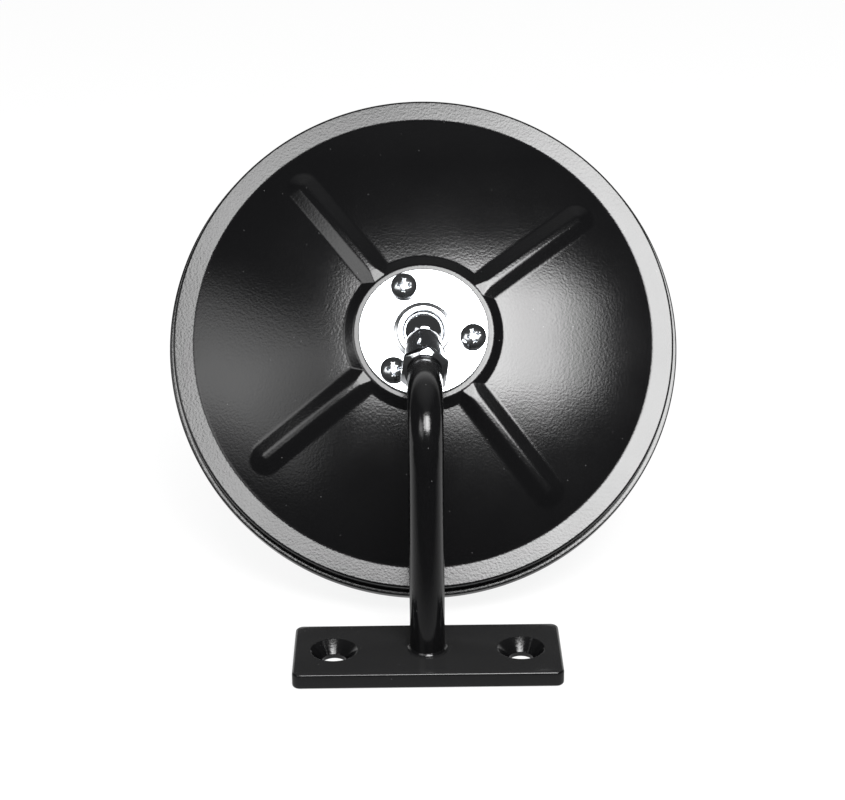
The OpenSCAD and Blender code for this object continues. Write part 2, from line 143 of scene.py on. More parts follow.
class HeadSizes(bpy.types.PropertyGroup):
    """Sizes of the head, outwards from its axis and up from its flat back ring."""

    head_turn: turn("Head turn", -7.5, "Turn of the head about its own axis")
    ball_h: length("Ball height", 7.6, "Height of the ball's centre above the flat ring")
    seat_r: length("Seat", 9.75, "Radius of the ball's seat in the clamp plate")
    clamp_top_h: length("Clamp top", 12.8, "Height of the clamp plate's outer face")
    clamp_t: length("Clamp thickness", 1.6, "Thickness of the clamp plate")
    clamp_r: length("Clamp radius", 25.25, "Radius of the clamp plate")
    opening_r: length("Opening", 8, "Radius of the clamp plate's opening")
    collar_foot_r: length("Collar foot", 11.7, "Radius at which the raised collar leaves the plate")
    collar_top_r: length("Collar top", 10.05, "Outer radius of the collar's flat top")
    collar_lip_r: length("Collar lip", 8.65, "Inner radius of the collar's flat top")
    collar_h: length("Collar height", 1.15, "Height of the raised collar")
    screw_circle_r: length("Screw circle", 19.4, "Distance of the clamp screws from the axis")
    screw_d: length("Screw", 5, "Diameter of the screws' shanks")
    screw_l: length("Screw length", 12, "Length of the screws under the head")
    screw_head_d: length("Screw head", 10.2, "Diameter of the pan heads")
    screw_head_h: length("Screw head height", 3.4, "Height of the pan heads")
    screw_edge_h: length("Screw head edge", 1.9, "Height of the pan heads at their edge")
    recess_w: length("Recess width", 1.5, "Width of the slots of the cross recess")
    recess_l: length("Recess length", 5.4, "Length of the slots of the cross recess")
    recess_deep: length("Recess depth", 2, "Depth of the cross recess")
    sheet: length("Sheet", 1, "Thickness of the shell's sheet")
    boss_hole_r: length("Boss hole", 11.8, "Radius of the hole in the boss")
    boss_top_h: length("Boss top", 11.2, "Height of the boss")
    boss_top_r: length("Boss radius", 27.2, "Radius of the boss's top")
    boss_flare: length("Boss flare", 3.8, "Run of the boss's wall from its top to the dome")
    boss_h: length("Boss height", 1.4, "Height of the boss's top above the foot of its wall")
    boss_round: length("Boss rounding", 0.2, "Rounding of the boss's top edge")
    ring_in_r: length("Ring", 90.1, "Radius at which the dome meets the flat ring")
    ring_crease: length("Ring crease", 0.15, "Rounding of the crease between dome and ring")
    press_crease: length("Press crease", 0.12, "Rounding of the creases at the feet of boss and ribs")
    wall_r: length("Wall", 98.4, "Radius of the side wall")
    wall_edge: length("Wall edge", 0.8, "Rounding between the flat ring and the wall")
    rib_w: length("Rib width", 12.6, "Width of a rib at its foot")
    rib_crest_w: length("Rib crest", 2.4, "Width of a rib's crest")
    rib_crest_round: length("Rib rounding", 0.2, "Rounding of the edges of a rib's crest")
    rib_h: length("Rib height", 1.35, "Height of a rib's crest above the dome")
    rib_out_r: length("Rib end", 77.5, "Distance from the axis to the end of a rib's crest")
    rib_drop: length("Rib drop", 0.15, "Drop of a rib's crest below the boss where it runs into it")
    rib_start: turn("First rib", 45, "Angle of the first rib from the first screw")
    band_r: length("Rim", 100.5, "Outer radius of the rim band")
    band_t: length("Rim thickness", 0.7, "Thickness of the rim band's sheet")
    band_edge: length("Rim edge", 0.5, "Rounding of the rim band's outer edges")
    band_top_h: length("Rim drop", 8, "Depth of the rim band's top below the flat ring")
    band_front_h: length("Rim front", 14.6, "Depth of the rim band's front below the flat ring")
    band_lip_r: length("Rim lip", 96.9, "Inner radius of the rim band's front lip")
    gasket_in_r: length("Gasket", 96.35, "Inner radius of the rim gasket")
    glass_r: length("Mirror", 98.85, "Radius of the mirror glass")
    glass_t: length("Mirror thickness", 3, "Thickness of the mirror glass")
    glass_edge_h: length("Mirror edge", 13.2, "Depth of the mirror's front edge below the flat ring")
    glass_bulge_r: length("Mirror bulge", 500, "Radius of the mirror's bulge")
    play: length("Play", 0.05, "Play between pieces that are pressed together")


class Finishes(bpy.types.PropertyGroup):
    """Colours of the finishes and of the stage."""

    coat: colour("Powder coat", "#0c0c0d", "Black coat of bracket, shell and rim")
    # The dust's colour is also the colour towards which faces that look up are painted lighter, as painted light from
    # above.
    coat_dust_and_top_light: colour("Dust", "#a8a8a8", "Fine dust that sits on the coat")
    chrome: colour("Chrome", "#dfe1e4", "Plating of the ball stud and its nut")
    zinc: colour("Zinc", "#dddfe1", "Plating of the clamp plate and its screws")
    zinc_dull: colour("Dull zinc", "#c3c6ca", "Duller clouds in the zinc plating")
    steel: colour("Steel", "#8d9197", "Bare steel inside the head")
    nylon: colour("Nylon", "#e4dfcf", "Seat pad of the ball")
    rubber: colour("Rubber", "#1b1b1c", "Gasket around the mirror")
    mirror: colour("Mirror", "#e6ecec", "Silvered face of the mirror")
    floor: colour("Floor", "#f2f2f2", "Pale studio floor")


# Surfaces: grids of points, whole arrays at a time

def rounded(corners, steps=6, closed=True):
    """Carries a line round its corners: each corner (x, y, radius) becomes an arc that touches both its sides.

    The arc's ends lie radius / tan(half angle) from the corner, and its points turn evenly about its centre.
    """
    corners = np.array(corners, float)
    points, radius = corners[:, :2], corners[:, 2:]
    inner = slice(None) if closed else slice(1, -1)
    here, radius = points[inner], radius[inner]
    before = np.roll(points, 1, axis=0)[inner] - here
    after = np.roll(points, -1, axis=0)[inner] - here
    before /= np.linalg.norm(before, axis=1, keepdims=True)
    after /= np.linalg.norm(after, axis=1, keepdims=True)
    half = np.arccos(np.clip((before * after).sum(axis=1, keepdims=True), -1, 1)) / 2
    middle = before + after
    middle /= np.linalg.norm(middle, axis=1, keepdims=True)
    centre = here + middle * radius / np.sin(half)
    start = here + before * radius / np.tan(half) - centre
    end = here + after * radius / np.tan(half) - centre
    share = np.linspace(0, 1, steps + 1)[None, :, None]
    sweep = (math.pi - 2 * half)[:, :, None]
    arc = (np.sin((1 - share) * sweep) * start[:, None] + np.sin(share * sweep) * end[:, None]) / np.sin(sweep)
    line = (centre[:, None] + arc).reshape(-1, 2)
    return line if closed else np.vstack([points[:1], line, points[-1:]])


def around(columns):
    """Even angles once round a circle."""
    return np.linspace(0, 2 * math.pi, columns, endpoint=False)


def polar(radius, angle, height):
    """Points at a radius and an angle about the third axis, and at a height along it."""
    return np.stack(np.broadcast_arrays(radius * np.cos(angle), radius * np.sin(angle), height), axis=-1)


def lathe(profile, columns):
    """Turns a line of (radius, height) once round the third axis: one row for each of its points."""
    return polar(profile[:, :1], around(columns), profile[:, 1:])


def on_head(sizes, points):
    """Sets points drawn about the head's axis, up from its flat ring, on the ball."""
    side = np.array([1.0, 0.0, 0.0])
    up = np.cross(HEAD_AXIS, side)
    cos, sin = math.cos(sizes.head_turn), math.sin(sizes.head_turn)
    axes = np.stack([cos * side + sin * up, cos * up - sin * side, HEAD_AXIS])
    return BALL + (points - np.array([0, 0, sizes.ball_h])) @ axes


def on_leg(points, start):
    """Sets points drawn about the third axis along the rod's level leg, from a distance to the upright's axis."""
    return np.stack([points[..., 0], start + points[..., 2], BALL[2] - points[..., 1]], axis=-1)


def smooth_max(a, b, blend):
    """The larger of two heights, with a parabola of the blend's size laid in the crease between them."""
    near = np.clip(1 - np.abs(a - b) / blend, 0, None)
    return np.maximum(a, b) + near ** 2 * blend / 4


def smooth_min(a, b, blend):
    """The smaller of two heights, with the edge between them rounded as smooth_max fills a crease."""
    return -smooth_max(-a, -b, blend)


def spaced(stops, counts):
    """One rising line of values from stop to stop, with a count of even values from each to the next."""
    runs = [np.linspace(*run) for run in zip(stops[:-1], stops[1:], counts)]
    return np.unique(np.concatenate(runs).round(9))


def skin(name, rows, closed=True, joined=()):
    """Makes a mesh of a grid of points whose columns go once round.

    The last row meets the first if closed, and otherwise each end gets a fan of triangles to its mean point.
    Further grids in joined become part of the same mesh. Faces are turned outwards by the sign of the volume.
    """
    points, quads, fans, base = [], [], [], 0
    for grid in (rows, *joined):
        count, columns = grid.shape[:2]
        number = base + np.arange(count * columns).reshape(count, columns)
        lower = number if closed else number[:-1]
        upper = np.roll(number, -1, axis=0) if closed else number[1:]
        quads.append(np.stack([lower, np.roll(lower, -1, axis=1), np.roll(upper, -1, axis=1), upper],
                              axis=-1).reshape(-1, 4))
        points.append(grid.reshape(-1, 3))
        base += count * columns
        if not closed:
            points.append(np.stack([grid[0].mean(axis=0), grid[-1].mean(axis=0)]))
            first, last = number[0], number[-1]
            fans.append(np.stack([np.full(columns, base), np.roll(first, -1), first], axis=-1))
            fans.append(np.stack([np.full(columns, base + 1), last, np.roll(last, -1)], axis=-1))
            base += 2
    points, quads = np.concatenate(points), np.concatenate(quads)
    fans = np.concatenate(fans) if fans else np.empty((0, 3), int)
    return solid(name, points, quads, fans)


def solid(name, points, quads, triangles):
    """Makes an object of points and faces, smooth but for its sharp edges, with its faces turned outwards."""
    halves = np.concatenate([quads[:, [0, 1, 2]], quads[:, [0, 2, 3]], triangles])
    a, b, c = (points[halves[:, i]] - points.mean(axis=0) for i in range(3))
    if (a * np.cross(b, c)).sum() < 0:
        quads, triangles = quads[:, ::-1], triangles[:, ::-1]
    mesh = bpy.data.meshes.new(name)
    mesh.from_pydata(points.tolist(), [], quads.tolist() + triangles.tolist())
    mesh.validate()
    mesh.shade_smooth()
    mesh.set_sharp_from_angle(angle=SHARP_ANGLE)
    return put(name, mesh)


def put(name, data):
    """Puts a mesh, a lamp or a camera into the scene as an object."""
    thing = bpy.data.objects.new(name, data)
    bpy.context.scene.collection.objects.link(thing)
    return thing


def dress(piece, body, slot, draw, *nodes):
    """Gives a piece its finish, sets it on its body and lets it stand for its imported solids."""
    piece.data.materials.append(finish(draw))
    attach(piece, body)
    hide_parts(*nodes)


# Finishes: each function draws its patterns and gives the inputs of its shader

def add_node(tree, kind, inputs=None, **settings):
    """Adds a node: settings are its own options, and inputs gives sockets a constant or another node's output."""
    node = tree.nodes.new(kind)
    for key, value in settings.items():
        setattr(node, key, value)
    for key, value in (inputs or {}).items():
        if isinstance(value, bpy.types.NodeSocket):
            tree.links.new(value, node.inputs[key])
        else:
            node.inputs[key].default_value = value
    return node


def blank_material(name):
    """A material, its empty node tree, and the Object coordinates in it."""
    material = bpy.data.materials.new(name)
    material.use_nodes = True
    tree = material.node_tree
    tree.nodes.clear()
    return material, tree, add_node(tree, "ShaderNodeTexCoord").outputs["Object"]


def finish(draw):
    """The material that a function draws, which is named after the function and made once."""
    material = bpy.data.materials.get(draw.__name__)
    if not material:
        material, tree, place = blank_material(draw.__name__)
        shader = add_node(tree, "ShaderNodeBsdfPrincipled", draw(tree, place, bpy.context.scene.mirror_finishes))
        add_node(tree, "ShaderNodeOutputMaterial", {"Surface": shader.outputs["BSDF"]})
    return material


def opaque(tint):
    """A colour with a fourth number, for full cover."""
    return (*tint, 1.0)


def clouded(tree, place, size, detail, low, high):
    """A value that drifts from low to high in clouds of a size: most of a noise lies in the span that it maps."""
    noise = add_node(tree, "ShaderNodeTexNoise", {"Vector": place, "Scale": 1 / size, "Detail": detail})
    span = add_node(tree, "ShaderNodeMapRange", {
        "Value": noise.outputs["Fac"], "From Min": 0.3, "From Max": 0.7, "To Min": low, "To Max": high})
    return span.outputs["Result"]


def grained(tree, place, size, detail, strength, depth):
    """A surface's normal, roughened by grain of a size and a depth."""
    noise = add_node(tree, "ShaderNodeTexNoise", {"Vector": place, "Scale": 1 / size, "Detail": detail})
    bump = add_node(tree, "ShaderNodeBump", {
        "Height": noise.outputs["Fac"], "Strength": strength, "Distance": depth})
    return bump.outputs["Normal"]


def satin_black_powder_coat(tree, place, tints):
    """Satin black polyester powder coat, baked on steel: a soft gloss with faint orange peel.

    A few specks of dust lie all over it, and faces that look up are painted slightly lighter towards the dust's
    colour: painted light from above.
    """
    peel = grained(tree, place, 0.9 * MM, 1.0, 1.0, 0.027 * MM)
    sheen = clouded(tree, place, 18 * MM, 3.0, 0.13, 0.16)
    speck = add_node(tree, "ShaderNodeTexVoronoi", {"Vector": place, "Scale": 1 / (5 * MM)})
    dust = add_node(tree, "ShaderNodeMapRange", {
        "Value": speck.outputs["Distance"], "From Min": 0.025, "From Max": 0.045, "To Min": 0.25, "To Max": 0.0})
    lift = add_node(tree, "ShaderNodeSeparateXYZ", {
        "Vector": add_node(tree, "ShaderNodeNewGeometry").outputs["Normal"]})
    # Painted light from above: faces that look up are lightened a little towards the dust's colour.
    painted_top_light = add_node(tree, "ShaderNodeMapRange", {
        "Value": lift.outputs["Z"], "From Min": 0.7, "From Max": 1.0, "To Min": 0.0, "To Max": 0.038})
    # Either a speck of dust or the painted light on faces that look up, whichever is stronger.
    cover = add_node(tree, "ShaderNodeMath", {
        0: dust.outputs["Result"], 1: painted_top_light.outputs["Result"]}, operation="MAXIMUM")
    mix = add_node(tree, "ShaderNodeMix", {
        "Factor": cover.outputs["Value"], "A": opaque(tints.coat), "B": opaque(tints.coat_dust_and_top_light)}, data_type="RGBA")
    return {"Base Color": mix.outputs["Result"], "Roughness": sheen, "Normal": peel, "IOR": 1.5}


def bright_chrome_plate(tree, place, tints):
    """Bright chrome over polished steel: a mirror with polishing marks around the stud, coarse enough to show."""
    marks = add_node(tree, "ShaderNodeMapping", {"Vector": place, "Scale": (1.0, 40.0, 1.0)})
    polish = clouded(tree, marks.outputs["Vector"], 9 * MM, 3.0, 0.03, 0.07)
    return {"Base Color": opaque(tints.chrome), "Metallic": 1.0, "Roughness": polish}


def bright_zinc_plate(tree, place, tints):
    """Bright zinc plating on pressed steel: pale, soft reflections with slightly duller clouds.

    Its grain is drawn coarser than the real one, so that it shows.
    """
    cloud = add_node(tree, "ShaderNodeTexNoise", {"Vector": place, "Scale": 1 / (6 * MM), "Detail": 4.0})
    tint = add_node(tree, "ShaderNodeMix", {
        "Factor": cloud.outputs["Fac"], "A": opaque(tints.zinc), "B": opaque(tints.zinc_dull)}, data_type="RGBA")
    polish = clouded(tree, place, 6 * MM, 4.0, 0.13, 0.19)
    grain = grained(tree, place, 0.5 * MM, 2.0, 0.1, 0.02 * MM)
    return {"Base Color": tint.outputs["Result"], "Metallic": 1.0, "Roughness": polish, "Normal": grain}


def drawn_steel(tree, place, tints):
    """Cold-drawn steel with a film of oil: grey metal with an uneven sheen."""
    sheen = clouded(tree, place, 1.2 * MM, 4.0, 0.3, 0.48)
    return {"Base Color": opaque(tints.steel), "Metallic": 1.0, "Roughness": sheen}


def moulded_nylon(tree, place, tints):
    """Natural nylon, injection moulded: off-white with a cloudy, waxy sheen."""
    sheen = clouded(tree, place, 3 * MM, 3.0, 0.36, 0.46)
    return {"Base Color": opaque(tints.nylon), "Roughness": sheen, "IOR": 1.53}


def extruded_rubber(tree, place, tints):
    """Extruded black rubber: dull, with a grain that is drawn coarse enough to show."""
    grain = grained(tree, place, 0.6 * MM, 3.0, 0.4, 0.04 * MM)
    return {"Base Color": opaque(tints.rubber), "Roughness": 0.7, "Normal": grain, "IOR": 1.52}


def silvered_glass(tree, place, tints):
    """Float glass bent to a dome and silvered: a clear reflection under a hard glossy face."""
    smear = add_node(tree, "ShaderNodeTexNoise", {"Vector": place, "Scale": 1 / (40 * MM), "Detail": 4.0})
    polish = add_node(tree, "ShaderNodeMapRange", {
        "Value": smear.outputs["Fac"], "From Min": 0.4, "From Max": 0.7, "To Min": 0.01, "To Max": 0.035})
    return {"Base Color": opaque(tints.mirror), "Metallic": 1.0, "Roughness": polish.outputs["Result"],
            "Coat Weight": 1.0, "Coat Roughness": 0.01}


# Pieces

class MIRROR_OT_base_plate(bpy.types.Operator):
    """Base plate with round edges and two countersunk holes."""

    bl_idname = "mirror.base_plate"
    bl_label = "Base plate"

    def execute(self, context):
        s = context.scene.mirror_bracket
        piece = skin("coated_plate", plate_half(s, 1), joined=(plate_half(s, -1),))
        weld_seam(piece.data)
        dress(piece, "bracket", "black_powder_coat", satin_black_powder_coat, "base_plate")
        return {"FINISHED"}


def plate_half(s, side):
    """Half of the base plate as rows that run round its hole.

    A row is a share of the way from a circle about the hole to the half's outline, which is drawn in by an inset.
    The rows climb the hole and its countersink, cross the top, turn over the edge and come back underneath.
    The outline's points on the middle line have no inset, so both halves meet there.
    """
    half_l, half_w, t = PLATE_HIGH.x, PLATE_HIGH.y, PLATE_HIGH.z
    corner, edge = s.plate_corner, s.plate_edge
    long_side = np.linspace(0, half_l - corner, 24)
    short_side = np.linspace(corner - half_w, half_w - corner, 14)[1:-1]
    swing = np.linspace(0, math.pi / 2, 9)
    arc = np.stack([half_l - corner + corner * np.sin(swing), half_w - corner + corner * np.cos(swing)], axis=-1)
    top = np.stack([long_side, 0 * long_side + half_w], axis=-1)
    outline = np.vstack([
        top[:-1], arc, np.stack([0 * short_side + half_l, -short_side], axis=-1),
        (arc * (1, -1))[::-1], (top * (1, -1))[::-1][1:],
        np.stack([np.zeros(9), np.linspace(-half_w, half_w, 11)[1:-1]], axis=-1)])
    core = np.stack([np.minimum(outline[:, 0], half_l - corner),
                     np.clip(outline[:, 1], corner - half_w, half_w - corner)], axis=-1)
    outward = outline - core
    outward[np.abs(outline[:, 1]) < half_w - corner, 1] = 0
    outward[(outline[:, 0] == 0) & (np.abs(outline[:, 1]) < half_w)] = 0
    size = np.linalg.norm(outward, axis=1, keepdims=True)
    outward = np.divide(outward, size, out=np.zeros_like(outward), where=size > 0)
    middle = np.array([s.hole_spacing / 2, 0])
    spoke = outline - middle
    spoke /= np.linalg.norm(spoke, axis=1, keepdims=True)

    hole_r, sink_r = s.hole_d / 2, s.countersink_d / 2
    bore = rounded([(hole_r, 0, 0), (hole_r, t - sink_r + hole_r, s.countersink_edge),
                    (sink_r, t, s.countersink_edge), (sink_r + 2 * s.countersink_edge, t, 0)], closed=False)
    fold = np.linspace(0, math.pi / 2, 7)
    share_up = np.linspace(0, 1, 6)[1:-1]
    flat = np.zeros(len(share_up))
    radius = np.concatenate([bore[:, 0], flat + bore[-1, 0], 0 * fold, 0 * fold, flat + hole_r])
    share = np.concatenate([0 * bore[:, 0], share_up, 0 * fold + 1, 0 * fold + 1, share_up[::-1]])
    inset = np.concatenate([0 * bore[:, 0], flat + edge, edge * (1 - np.sin(fold)), edge * (1 - np.cos(fold)),
                            flat + edge])
    height = np.concatenate([bore[:, 1], flat + t, t - edge * (1 - np.cos(fold)), edge * (1 - np.sin(fold)), flat])
    near = middle + radius[:, None, None] * spoke
    far = outline - inset[:, None, None] * outward
    plan = near + share[:, None, None] * (far - near)
    rows = np.dstack([plan, np.broadcast_to(height[:, None], plan.shape[:2])])
    return rows if side > 0 else (rows * (-1, 1, 1))[:, ::-1]


def weld_seam(mesh):
    """Merges the halves' common points on the middle line and removes the wall between them."""
    work = bmesh.new()
    work.from_mesh(mesh)
    wall = [f for f in work.faces if all(abs(v.co.x) < ON_SEAM for v in f.verts)]
    bmesh.ops.delete(work, geom=wall, context="FACES_ONLY")
    bmesh.ops.remove_doubles(work, verts=work.verts, dist=SAME_POINT)
    loose = [e for e in work.edges if not e.link_faces]
    bmesh.ops.delete(work, geom=loose, context="EDGES")
    work.to_mesh(mesh)
    work.free()


class MIRROR_OT_arm(bpy.types.Operator):
    """Bent rod and the weld around its foot."""

    bl_idname = "mirror.arm"
    bl_label = "Rod and weld"

    def execute(self, context):
        s = context.scene.mirror_bracket
        rod = skin("coated_rod", rod_rows(s), closed=False)
        dress(rod, "bracket", "black_powder_coat", satin_black_powder_coat, "arm_rod")
        weld = skin("weld_bead", weld_rows(s))
        dress(weld, "bracket", "black_powder_coat", satin_black_powder_coat, "foot_weld")
        return {"FINISHED"}


def rod_rows(s):
    """A circle carried up the upright, round the bend and along the level leg, then down to the thread's size.

    At a path angle a from the upright, the circle lies across the direction (0, sin a, cos a).
    """
    rod_r, thread_r = ROD_HIGH.x, s.thread_d / 2
    swing = np.linspace(0, math.pi / 2, 29)
    up = spaced((ROD_LOW.z, BALL[2] - s.bend_r), (12,))[:-1]
    end = rounded([(s.bend_r, rod_r, 0), (s.leg_reach, rod_r, s.rod_edge), (s.leg_reach, thread_r, 0.15 * MM),
                   (ROD_HIGH.y, thread_r, s.rod_edge), (ROD_HIGH.y, thread_r / 2, 0)], closed=False)[1:]
    angle = np.concatenate([0 * up, swing, 0 * end[:, 0] + math.pi / 2])
    y = np.concatenate([0 * up, s.bend_r * (1 - np.cos(swing)), end[:, 0]])
    z = np.concatenate([up, BALL[2] - s.bend_r * (1 - np.sin(swing)), 0 * end[:, 0] + BALL[2]])
    radius = np.concatenate([0 * up + rod_r, 0 * swing + rod_r, end[:, 1]])
    angle, y, z, radius = (column[:, None] for column in (angle, y, z, radius))
    phi = around(COLUMNS["rod"])
    lift = radius * np.sin(phi)
    return np.stack([radius * np.cos(phi), y - lift * np.cos(angle), z + lift * np.sin(angle)], axis=-1)


def weld_rows(s):
    """A hollow-faced fillet, drawn for a leg of 1 and carried round the rod's foot as the leg ripples by a cosine."""
    rod_r, foot = ROD_HIGH.x, PLATE_HIGH.z
    angle = around(COLUMNS["weld"])
    leg = s.weld_leg - s.weld_ripple * (0.5 + 0.5 * np.cos(RIPPLES * angle + DRIFT * np.sin(DRIFTS * angle)))
    section = rounded([(-0.3, -0.2, 0.05), (1.0, -0.2, 0.05), (1.0, 0.06, 0.1), (0.42, 0.42, 1.4), (0.06, 1.0, 0.1),
                       (-0.3, 1.0, 0.05)], steps=8)
    return polar(rod_r + section[:, :1] * leg, angle, foot + section[:, 1:] * leg)


class MIRROR_OT_stud(bpy.types.Operator):
    """Ball stud and the lock nut behind it."""

    bl_idname = "mirror.stud"
    bl_label = "Ball stud and lock nut"

    def execute(self, context):
        s = context.scene.mirror_bracket
        stud = skin("chrome_stud", on_leg(lathe(stud_profile(s), COLUMNS["stud"]), NUT_HIGH.y), closed=False)
        dress(stud, "ball_stud", "chrome_plate", bright_chrome_plate, "ball_stud")
        nut = skin("hexagon_nut", on_leg(nut_rows(s), NUT_LOW.y))
        dress(nut, "ball_stud", "chrome_plate", bright_chrome_plate, "lock_nut")
        return {"FINISHED"}


def stud_profile(s):
    """The stud's half section: up the bore, over the bevelled body, along the neck and round the ball."""
    body_r, bore_r, neck_r, ball_r = s.stud_d / 2, s.thread_d / 2 + s.thread_play, s.neck_d / 2, s.ball_d / 2
    ball_z = BALL[1] - NUT_HIGH.y
    meet = math.asin(neck_r / ball_r)
    body = rounded([
        (bore_r / 4, s.stud_bore_l, 0), (bore_r, s.stud_bore_l, 0.2 * MM), (bore_r, 0, 0.3 * MM),
        (body_r - s.stud_bevel, 0, 0.25 * MM), (body_r, s.stud_bevel, 0.4 * MM),
        (body_r, s.stud_l - s.stud_bevel, 0.4 * MM), (body_r - s.stud_bevel, s.stud_l, 0.25 * MM),
        (neck_r, s.stud_l, 0.8 * MM), (neck_r, ball_z - ball_r * math.cos(meet), 0)], closed=False)[:-1]
    swing = np.linspace(meet, math.pi - POLE_GAP, 64)
    ball = np.stack([ball_r * np.sin(swing), ball_z - ball_r * np.cos(swing)], axis=-1)
    return np.vstack([body, ball])


def nut_rows(s):
    """A hexagon cut by bevel cones: at each height the radius is the smaller of the hexagon's and the cone's.

    The hexagon's radius at an angle is half its width over the cosine of the angle to the nearest flat.
    """
    t = NUT_HIGH.y - NUT_LOW.y
    face_r, bore_r = s.nut_face_d / 2, s.thread_d / 2 + s.thread_play
    wear, bevel, face_in_r = 0.12 * MM, 0.5 * MM, face_r - 0.3 * MM
    angle = around(COLUMNS["nut"])
    to_flat = (angle + s.nut_turn) % (math.pi / 3) - math.pi / 6
    hexagon = smooth_min(s.nut_af / 2 / np.cos(to_flat), 0 * angle + s.nut_af / math.sqrt(3) - wear, 0.25 * MM)
    height = np.linspace(0, t, 49)
    cone = face_r + (t / 2 - np.abs(height - t / 2)) / math.tan(NUT_BEVEL)
    outer = smooth_min(hexagon[None, :], cone[:, None], wear)
    bore = np.array([(face_in_r, t), (bore_r + bevel, t), (bore_r, t - bevel), (bore_r, bevel), (bore_r + bevel, 0),
                     (face_in_r, 0)])
    radius = np.vstack([outer, np.repeat(bore[:, :1], len(angle), axis=1)])
    return polar(radius, angle, np.concatenate([height, bore[:, 1]])[:, None])


class MIRROR_OT_clamp(bpy.types.Operator):
    """Clamp plate with its collar, and the three screws that hold it."""

    bl_idname = "mirror.clamp"
    bl_label = "Clamp plate and screws"

    def execute(self, context):
        s = context.scene.mirror_head
        plate = skin("clamp_disc", on_head(s, lathe(clamp_profile(s), COLUMNS["clamp"])))
        dress(plate, "mirror_head", "bright_zinc", bright_zinc_plate, "clamp_plate")
        for number, recess_turn in enumerate(RECESS_TURNS):
            rows = screw_rows(s, number * 2 * math.pi / len(RECESS_TURNS), math.radians(recess_turn))
            screw = skin(f"pan_screw_{number + 1}", on_head(s, rows), closed=False)
            dress(screw, "mirror_head", "bright_zinc", bright_zinc_plate, f"clamp_screw_{number + 1}")
        return {"FINISHED"}


def clamp_profile(s):
    """The clamp plate's half section: flat disc, sloped collar with a flat top, and a seat along the ball."""
    top, bottom = s.clamp_top_h, s.clamp_top_h - s.clamp_t
    crown = top + s.collar_h
    seat = math.sqrt(s.seat_r ** 2 - (bottom - s.ball_h) ** 2)
    lip_h = s.ball_h + math.sqrt(s.seat_r ** 2 - s.opening_r ** 2)
    return rounded([
        (seat, bottom, 0.1 * MM), (s.clamp_r, bottom, 0.3 * MM), (s.clamp_r, top, 0.4 * MM),
        (s.collar_foot_r, top, 0.1 * MM), (s.collar_foot_r - 0.2 * MM, top + 0.2 * MM, 0.1 * MM),
        (s.collar_top_r + 0.25 * MM, top + 0.4 * MM, 0.1 * MM), (s.collar_top_r, crown, 0.2 * MM),
        (s.collar_lip_r, crown, 0.1 * MM), (s.collar_lip_r - 0.1 * MM, crown - 0.15 * MM, 0.05 * MM),
        (s.opening_r + 0.15 * MM, crown - 0.2 * MM, 0.15 * MM), (s.opening_r, lip_h, 0.05 * MM)])


def screw_rows(s, place, recess_turn):
    """A pan head as a height over polar rows, less a cross recess, and then its side, underside and shank.

    The recess is as deep as the lesser of its depth, a steep wall by its width and a slope by its length allow.
    """
    angle = around(COLUMNS["screw"])
    head_r, shank_r, reach = s.screw_head_d / 2, s.screw_d / 2, s.recess_l / 2
    dome_h = s.screw_head_h - s.screw_edge_h
    dome_r = (head_r ** 2 + dome_h ** 2) / (2 * dome_h)
    radius = spaced((0.05 * MM, reach + 0.2 * MM, head_r - 0.35 * MM), (34, 8))
    x = radius[:, None] * np.cos(angle - recess_turn)
    y = radius[:, None] * np.sin(angle - recess_turn)
    slots = [np.minimum((reach - np.abs(a)) * RECESS_END_SLOPE, (s.recess_w / 2 - np.abs(b)) * RECESS_SIDE_SLOPE)
             for a, b in ((x, y), (y, x))]
    recess = np.clip(np.maximum(*slots), 0, s.recess_deep)
    top = s.screw_head_h - dome_r + np.sqrt(dome_r ** 2 - radius ** 2)
    side = rounded([
        (radius[-1], top[-1], 0), (head_r, s.screw_edge_h, 0.4 * MM), (head_r, 0, 0.2 * MM),
        (shank_r, 0, 0.2 * MM), (shank_r, -s.screw_l, 0.4 * MM), (shank_r / 2, -s.screw_l, 0)], closed=False)[1:]
    rise = np.vstack([top[:, None] - recess, np.repeat(side[:, 1:], len(angle), axis=1)])
    out = np.concatenate([radius, side[:, 0]])[:, None]
    return polar(s.screw_circle_r, place, 0) + polar(out, angle + place, s.clamp_top_h + rise)


class MIRROR_OT_shell(bpy.types.Operator):
    """Pressed back with its boss, ribs, flat ring, wall and lip."""

    bl_idname = "mirror.shell"
    bl_label = "Pressed back"

    def execute(self, context):
        s = context.scene.mirror_head
        piece = skin("pressed_back", on_head(s, shell_rows(s)))
        dress(piece, "mirror_head", "black_powder_coat", satin_black_powder_coat, "back_shell")
        return {"FINISHED"}


